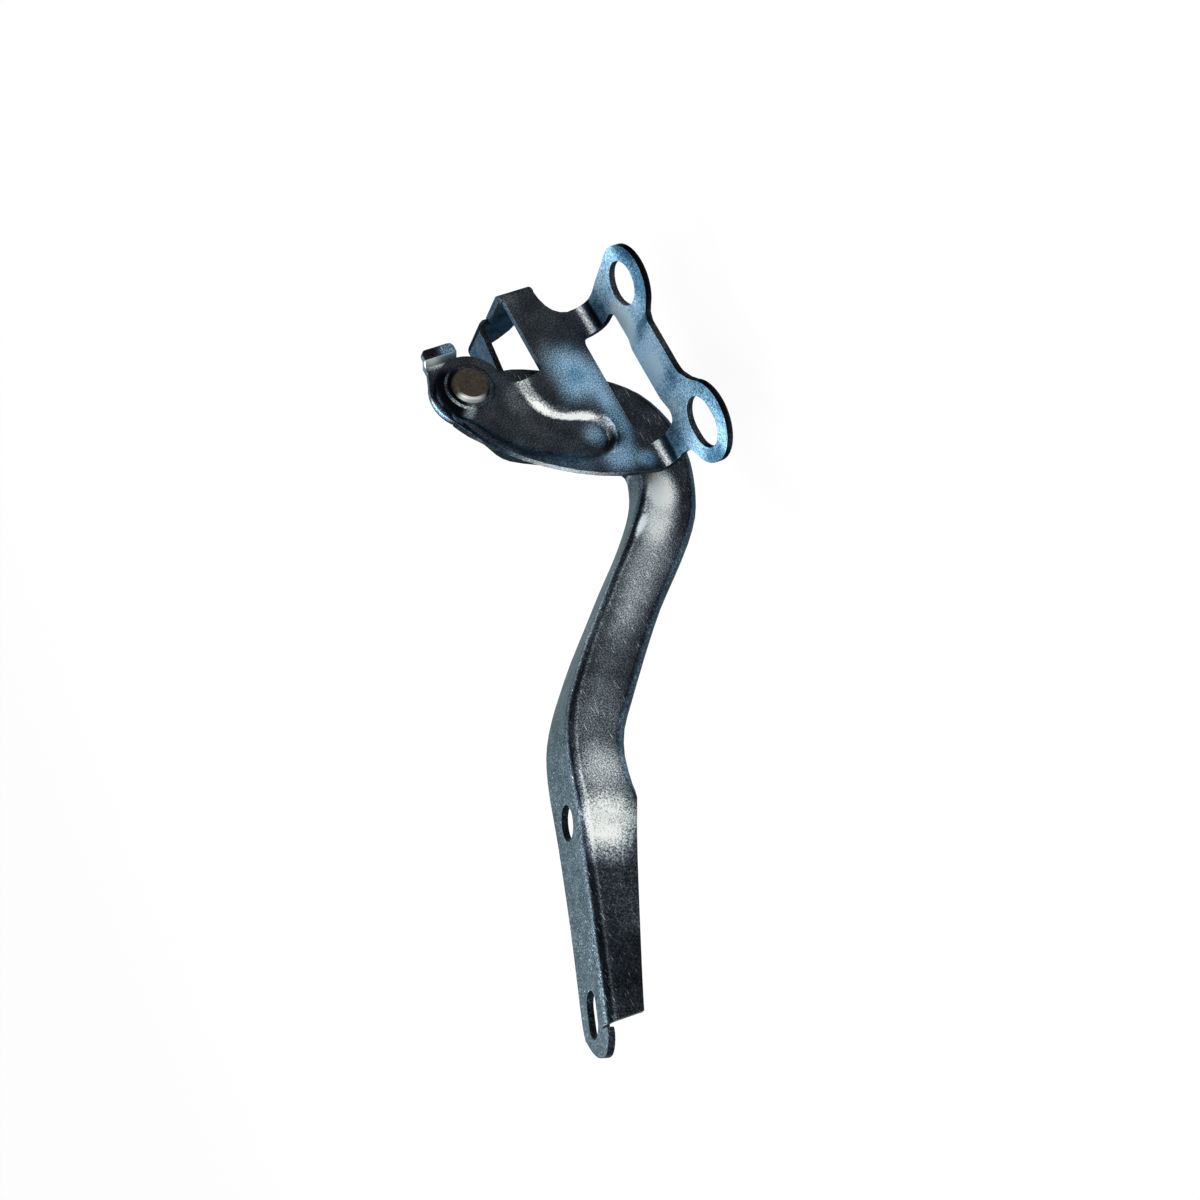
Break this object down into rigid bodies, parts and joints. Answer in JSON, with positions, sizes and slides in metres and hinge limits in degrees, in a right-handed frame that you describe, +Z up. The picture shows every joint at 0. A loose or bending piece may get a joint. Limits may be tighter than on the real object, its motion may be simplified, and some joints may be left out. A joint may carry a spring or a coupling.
{
  "type": "car bonnet hinge",
  "caption": "Pressed steel bonnet hinge: a folded bracket with two bolting ears carries a riveted gooseneck channel arm with a long bonnet flange.",
  "frame": {"origin": "middle of the two body bolts, on the underside of the bolting flange", "axes": "+Z up and out of the bolted face towards the pivot, +X to the rear of the car along the line of the two bolts, +Y from the bolting ears towards the arm, along the pivot's axis"},
  "size_m": [0.2464, 0.0765, 0.1283],
  "materials": {
    "zinc_bracket": "bright blue zinc plating, dark and speckled where it reflects the room",
    "zinc_arm": "bright blue zinc plating with fine scratches",
    "rivet_steel": "dull dark steel",
    "bush_bronze": "plain sintered bronze",
    "washer_steel": "zinc plated"
  },
  "bodies": {
    "body_bracket": {"bracket": "zinc_bracket", "rivet": "rivet_steel", "washer": "washer_steel"},
    "bonnet_arm": {"arm": "zinc_arm", "bush": "bush_bronze"}
  },
  "joints": [
    {"name": "bonnet_pivot", "type": "hinge", "parent": "body_bracket", "child": "bonnet_arm", "pos_m": [0.023, 0.0346, 0.055], "axis": [0, 1, 0], "range_deg": [-21, 50]}
  ]
}
